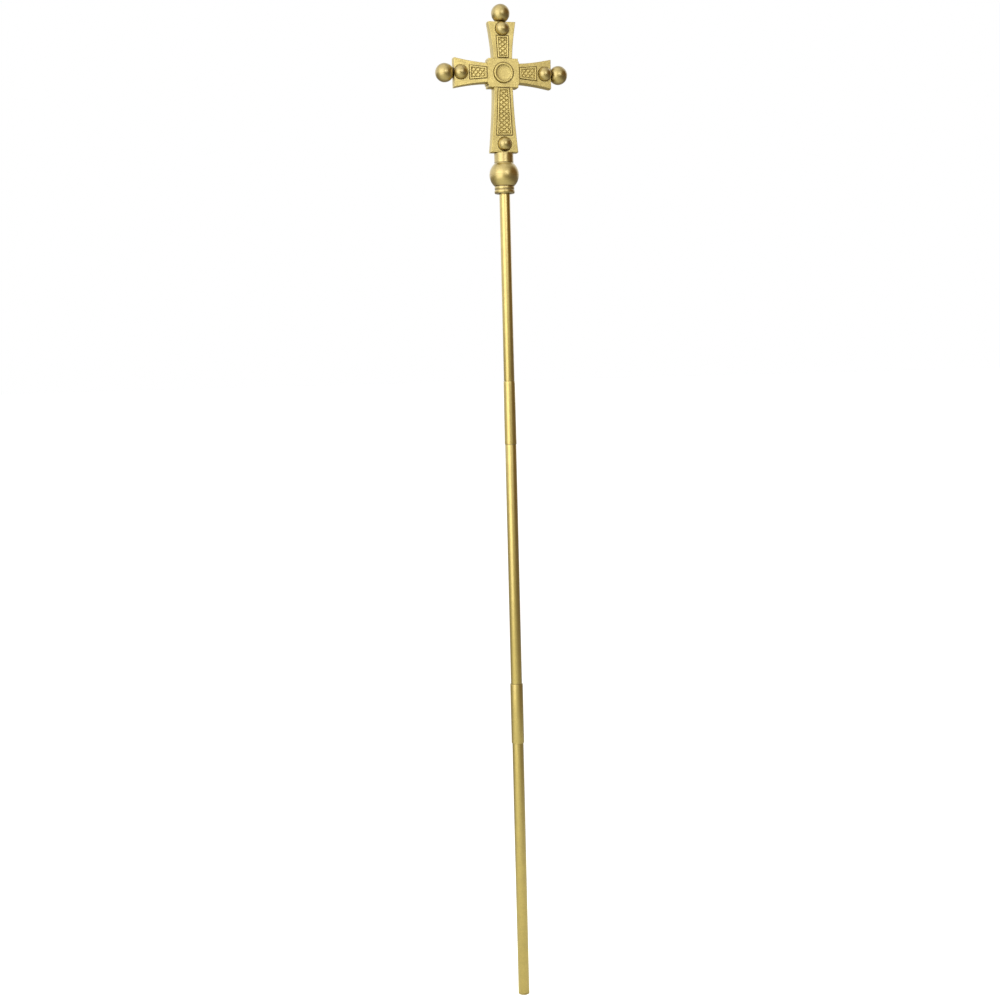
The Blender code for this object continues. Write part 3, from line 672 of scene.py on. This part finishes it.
def medallion(side_name, side):
    low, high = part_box("medallion_ring_" + side_name)
    height = high.y - low.y
    inner = MEDALLION_OUTER - BEZEL_WIDTH
    seat = seat_point(0.0, 0.0, side, BLOCK_FACE + GAP)
    profile = rounded([(MEDALLION_OUTER, height, BEZEL_ROUND), (MEDALLION_OUTER, -SEAT_DIP),
                       (inner, -SEAT_DIP), (inner, height, BEZEL_ROUND)], closed=True, steps=8)
    ring = aim(turned(profile, FINE, closed=True), seat, (0.0, side, 0.0))
    add_piece("bezel_" + side_name, ring, "cross_section", ["medallion_ring_" + side_name],
              CAST)
    rim = inner - 0.0002
    dish = [(rim * share, DISH_FLOOR + DISH_RISE * share ** 3)
            for share in (0.0, 0.15, 0.3, 0.45, 0.6, 0.7, 0.8, 0.88, 0.95)]
    dish += [(rim, DISH_LIP), (rim, -SEAT_DIP), (DISC_PEG_RADIUS, -SEAT_DIP), (DISC_PEG_RADIUS, -WALL),
             (0.0, -WALL)]
    disc = aim(turned(dish, FINE), seat, (0.0, side, 0.0))
    add_piece("dished_disc_" + side_name, disc, "cross_section", ["medallion_disc_" + side_name],
              CAST)


def finial(place):
    name = "finial_ball_" + place
    low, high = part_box(name)
    radius = (high.y - low.y) / 2
    direction = Vector((ARMS[place][0][0], 0.0, ARMS[place][0][1]))
    tip = max(abs(high.x), abs(low.x)) if direction.x else high.z - CROSSING_Z
    centre = Vector((0.0, 0.0, CROSSING_Z)) + direction * (tip - radius)
    seat_angle = math.degrees(math.acos(-BALL_SEAT / radius))
    profile = arc(0.0, radius, 0.0, seat_angle - 1.5, 48)
    seat_radius = math.sqrt(radius ** 2 - BALL_SEAT ** 2)
    bore_top = PIN_DEPTH - BALL_SEAT
    profile += [(seat_radius - GAP, -BALL_SEAT), (PIN_HOLE, -BALL_SEAT), (PIN_HOLE, bore_top),
                (0.0, bore_top)]
    add_piece("ball_" + place, aim(turned(profile, FINE), centre, direction), "cross_section", [name],
              BEAD)


# Neck, knop and collar

def neck():
    low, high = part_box("neck")
    radius = high.x
    knop_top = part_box("knop_upper")[1].z
    bottom = knop_top + GAP
    profile = rounded([(0.0, high.z), (radius, high.z, 0.0006), (radius - 0.0002, high.z - 0.005),
                       (radius - 0.0001, bottom, 0.0004), (TENON_RADIUS, bottom),
                       (TENON_RADIUS, low.z, 0.0006), (0.0, low.z)])
    slot = box_cutter((0.0, 0.0, high.z), (2 * (FRAME_HALF_WIDTH + GAP), 2 * (FRAME_HALF_DEPTH + GAP),
                                           2 * SLOT_DEPTH))
    shape = combined(turned(profile), [('DIFFERENCE', slot)])
    add_piece("neck_collar", shape, "cross_section", ["neck"], TURNED, weighted=True)


def knop():
    half_low, half_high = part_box("knop_upper")
    top, seam, radius = half_high.z, half_low.z, half_high.x
    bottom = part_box("knop_lower")[0].z
    inner = radius - KNOP_WALL
    bore = CORE_RADIUS + GAP
    shoulder = math.degrees(math.asin(SHOULDER_RADIUS / radius))
    rim = math.degrees(math.asin(COLLAR_RADIUS / radius))
    half_groove, groove_depth = SEAM_GROOVE
    outer = arc(seam, radius, shoulder, 90.0 - half_groove, 40) + [(radius - groove_depth, seam)]
    outer += arc(seam, radius, 90.0 + half_groove, 180.0 - rim, 40)
    inner_angle = math.degrees(math.asin((bore + KNOP_WALL) / inner))
    profile = [(bore, top), (SHOULDER_RADIUS - 0.0005, top)] + outer
    profile += [(bore, bottom), (bore, bottom + 0.0012)]
    profile += arc(seam, inner, 180.0 - inner_angle, inner_angle, 40)
    profile += [(bore, top - 0.0012)]
    add_piece("knop_ball", turned(profile, KNOP_SIDES, closed=True), "knop_section",
              ["knop_upper", "knop_lower"], TURNED)


def collar():
    low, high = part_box("socket_collar")
    radius, height = high.x, high.z - low.z
    bore = CORE_RADIUS + GAP
    waist = radius - 0.0018

    def bead(top, bottom, reach):
        middle_z, half = (top + bottom) / 2, (top - bottom) / 2
        return [(waist + (reach - waist) * max(0.0, math.sin(math.pi * step / 10)) ** 0.6,
                 middle_z + half * math.cos(math.pi * step / 10)) for step in range(11)]

    outer = [(waist, high.z)] + bead(high.z - 0.0003, high.z - height * 0.46, radius - 0.0005)
    outer += bead(high.z - height * 0.52, low.z + 0.0004, radius)
    profile = outer + [(radius - 0.0008, low.z + 0.0003), (radius - 0.0010, low.z), (bore, low.z),
                       (bore, high.z)]
    add_piece("beaded_collar", turned(profile, FINE, closed=True), "knop_section", ["socket_collar"],
              TURNED)


def core():
    low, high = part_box("socket_core")
    outer = high.x
    pole_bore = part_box("upper_tube")[1].x + GAP
    tenon_bore = TENON_RADIUS + GAP
    rib_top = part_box("neck")[0].z - GAP
    rib = pole_bore - 0.0023
    profile = rounded([(outer, high.z, 0.0004), (outer, low.z, 0.0004), (pole_bore, low.z, 0.0004),
                       (pole_bore, rib_top - 0.003), (rib, rib_top - 0.003), (rib, rib_top),
                       (tenon_bore, rib_top), (tenon_bore, high.z, 0.0004)], closed=True)
    add_piece("socket_tube", turned(profile, MEDIUM, closed=True), "knop_section", ["socket_core"],
              BARE)


# Pole

def tube(name, source, body, wall, material, edge=0.0004):
    low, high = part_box(source)
    outer, inner = high.x, high.x - wall
    profile = rounded([(outer, high.z, edge), (outer, low.z, edge), (inner, low.z, edge / 2),
                       (inner, high.z, edge / 2)], closed=True)
    add_piece(name, turned(profile, MEDIUM, closed=True), body, [source], material)


def ferrule():
    low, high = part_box("upper_ferrule")
    mouth = high.x
    neck_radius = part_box("lower_tube")[1].x
    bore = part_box("middle_tube")[1].x - TUBE_WALL
    profile = rounded([(neck_radius, high.z, 0.0005), (neck_radius + 0.0001, high.z - 0.006, 0.002),
                       (mouth - 0.0002, low.z + 0.010, 0.004), (mouth, low.z, 0.0005),
                       (bore, low.z, 0.0004), (bore, high.z, 0.0002)], closed=True)
    add_piece("tapered_ferrule", turned(profile, MEDIUM, closed=True), "upper_section", ["upper_ferrule"],
              TUBE)


def sleeve():
    low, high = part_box("coupling_sleeve")
    outer = high.x
    lower_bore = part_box("lower_tube")[1].x + GAP
    middle_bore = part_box("middle_tube")[1].x + GAP
    rib_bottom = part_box("lower_tube")[1].z + GAP
    rib_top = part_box("middle_tube")[0].z - GAP
    rib = lower_bore - 0.0013
    profile = rounded([(outer, high.z, 0.0005), (outer, low.z, 0.0005), (lower_bore, low.z, 0.0003),
                       (lower_bore, rib_bottom), (rib, rib_bottom), (rib, rib_top), (middle_bore, rib_top),
                       (middle_bore, high.z, 0.0003)], closed=True)
    add_piece("joining_sleeve", turned(profile, MEDIUM, closed=True), "lower_section", ["coupling_sleeve"],
              TUBE)


def foot():
    low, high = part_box("foot_plug")
    outer = high.x
    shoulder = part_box("lower_tube")[0].z - GAP
    plug = outer - TUBE_WALL - GAP
    profile = rounded([(0.0, high.z), (plug, high.z, 0.0006), (plug, shoulder), (outer, shoulder, 0.0003),
                       (outer, low.z, 0.0012), (0.0, low.z)], steps=6)
    add_piece("foot_cap", turned(profile, MEDIUM), "lower_section", ["foot_plug"], TUBE)


def stepped_plug():
    low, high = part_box("upper_spigot")
    thick = high.x
    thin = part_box("upper_tube")[1].x - TUBE_WALL - GAP
    step_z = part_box("upper_ferrule")[1].z
    profile = rounded([(0.0, high.z), (thin, high.z, 0.0006), (thin, step_z), (thick, step_z),
                       (thick, low.z, 0.0006), (0.0, low.z)])
    add_piece("joining_plug", turned(profile, MEDIUM), "upper_section", ["upper_spigot"],
              BARE)


def build_object():
    for side_name, side in SIDES.items():
        cross_plate(side_name, side)
        medallion(side_name, side)
        for place in ARMS:
            panel(place, side_name, side)
            stud(place, side_name, side)
    for place in ("left", "right", "top"):
        finial(place)
    neck()
    knop()
    collar()
    core()
    tube("upper_pole", "upper_tube", "upper_section", TUBE_WALL, TUBE)
    ferrule()
    stepped_plug()
    tube("middle_pole", "middle_tube", "middle_section", TUBE_WALL, TUBE)
    tube("middle_pin", "middle_spigot", "middle_section", TUBE_WALL, BARE, 0.0006)
    tube("lower_pole", "lower_tube", "lower_section", TUBE_WALL, TUBE)
    sleeve()
    foot()
    for name, part in frame["nodes"].items():
        if not part.hide_render:
            part.data.materials.clear()
            part.data.materials.append(BARE)


build_object()


# Stage

FLOOR_SIZE = 400.0               # so wide that its far edge meets the white horizon
FLOOR_DROP = 0.0001              # just below the foot
WHITE = (1.0, 1.0, 1.0, 1.0)
FLOOR_PALE = (0.72, 0.74, 0.62, 1.0)     # the floor's tones, as the metal reflects them
FLOOR_ASIDE = (0.10, 0.07, 0.045, 1.0)
FLOOR_BEHIND = (0.14, 0.11, 0.07, 1.0)
WALL_TONE = (0.18, 0.10, 0.035, 1.0)     # darker wall to the right
CEILING_TONE = (0.22, 0.18, 0.10, 1.0)


def direction_of(azimuth, elevation=0.0):
    """Unit vector towards an azimuth (0 is the front, 90 the right) and elevation, in degrees."""
    a, e = math.radians(azimuth), math.radians(elevation)
    return Vector((math.sin(a) * math.cos(e), -math.cos(a) * math.cos(e), math.sin(e)))


def floor():
    bpy.ops.mesh.primitive_plane_add(size=FLOOR_SIZE, location=(0.0, 0.0, -FLOOR_DROP))
    ground = bpy.context.object
    ground.name = "studio_floor"
    material = bpy.data.materials.new("pale_floor")
    material.use_nodes = True
    tree = material.node_tree
    shader = tree.nodes["Principled BSDF"]
    place = node(tree, 'ShaderNodeTexCoord').outputs["Object"]
    aside = node(tree, 'ShaderNodeVectorMath', {0: place, 1: direction_of(62.0)}, operation='DOT_PRODUCT')
    shade = eased(tree, aside.outputs["Value"], 0.4, 2.8, 1.0)
    tint = mixed(tree, shade, FLOOR_PALE, FLOOR_ASIDE)
    depth = node(tree, 'ShaderNodeSeparateXYZ', {0: place}).outputs["Y"]
    tint = mixed(tree, eased(tree, depth, 0.0, 1.2, 0.85), tint, FLOOR_BEHIND)
    tree.links.new(tint, shader.inputs["Base Color"])
    shader.inputs["Roughness"].default_value = 0.9
    shader.inputs["Specular IOR Level"].default_value = 0.1
    shader.inputs["Emission Color"].default_value = WHITE
    seen = node(tree, 'ShaderNodeLightPath').outputs["Is Camera Ray"]
    tree.links.new(remap(tree, seen, 0.0, 1.0, 0.10, 1.0), shader.inputs["Emission Strength"])
    ground.data.materials.append(material)


def world():
    """White surroundings; the metal reflects a warm darker wall to the right and a dimmer ceiling."""
    scene = bpy.context.scene
    scene.world = bpy.data.worlds.new("studio")
    scene.world.use_nodes = True
    tree = scene.world.node_tree
    tree.nodes.clear()
    looking = node(tree, 'ShaderNodeTexCoord').outputs["Generated"]
    dark_side = direction_of(69.0, 6.0)
    towards = node(tree, 'ShaderNodeVectorMath', {0: looking, 1: dark_side}, operation='DOT_PRODUCT')
    reflected = mixed(tree, eased(tree, towards.outputs["Value"], 0.55, 0.86, 1.0), WHITE, WALL_TONE)
    height = node(tree, 'ShaderNodeSeparateXYZ', {0: looking}).outputs["Z"]
    reflected = mixed(tree, eased(tree, height, 0.45, 0.95, 0.55), reflected, CEILING_TONE)
    seen = node(tree, 'ShaderNodeLightPath').outputs["Is Camera Ray"]
    colour = mixed(tree, seen, reflected, WHITE)
    background = node(tree, 'ShaderNodeBackground', {"Color": colour, "Strength": 1.0})
    output = node(tree, 'ShaderNodeOutputWorld')
    tree.links.new(background.outputs[0], output.inputs["Surface"])


def softbox(name, azimuth, elevation, distance, target_z, width, height, power):
    """Soft light aimed at a height on the pole's axis, seen from there at the given angles."""
    light = bpy.data.lights.new(name, 'AREA')
    light.shape = 'RECTANGLE'
    light.size, light.size_y = width, height
    light.energy = power
    item = bpy.data.objects.new(name, light)
    away = direction_of(azimuth, elevation)
    item.location = Vector((0.0, 0.0, target_z)) + away * distance
    item.rotation_mode = 'QUATERNION'
    item.rotation_quaternion = away.to_track_quat('Z', 'Y')
    bpy.context.scene.collection.objects.link(item)


def lights():
    softbox("key_softbox", azimuth=-52.0, elevation=8.0, distance=2.1, target_z=1.25, width=1.9,
            height=2.5, power=18.0)
    softbox("front_softbox", azimuth=5.0, elevation=12.0, distance=2.6, target_z=CROSSING_Z, width=1.2,
            height=1.0, power=6.2)
    softbox("overhead", azimuth=-60.0, elevation=70.0, distance=2.6, target_z=0.9, width=2.2,
            height=2.2, power=8.0)


CAMERA_AZIMUTH = -15.0           # angles in degrees, lengths in metres
CAMERA_DISTANCE = 2.75
CAMERA_HEIGHT = 1.15
CAMERA_PAN = 0.456
CAMERA_PITCH = -4.739
CAMERA_ROLL = -1.427
FOCAL_LENGTH = 54.816            # in mm, as is the sensor
SENSOR_WIDTH = 36.0


def camera():
    data = bpy.data.cameras.new("camera")
    data.lens = FOCAL_LENGTH
    data.sensor_width = SENSOR_WIDTH
    item = bpy.data.objects.new("camera", data)
    bpy.context.scene.collection.objects.link(item)
    a = math.radians(CAMERA_AZIMUTH)
    item.location = (math.sin(a) * CAMERA_DISTANCE, -math.cos(a) * CAMERA_DISTANCE, CAMERA_HEIGHT)
    turn = Matrix.Rotation(math.radians(CAMERA_AZIMUTH + CAMERA_PAN), 4, 'Z')
    tip = Matrix.Rotation(math.radians(90.0 + CAMERA_PITCH), 4, 'X')
    roll = Matrix.Rotation(math.radians(CAMERA_ROLL), 4, 'Z')
    item.rotation_mode = 'QUATERNION'
    item.rotation_quaternion = (turn @ tip @ roll).to_quaternion()
    bpy.context.scene.camera = item


floor()
world()
lights()
camera()
bpy.context.scene.view_settings.view_transform = 'Standard'
bpy.context.scene.view_settings.look = 'None'
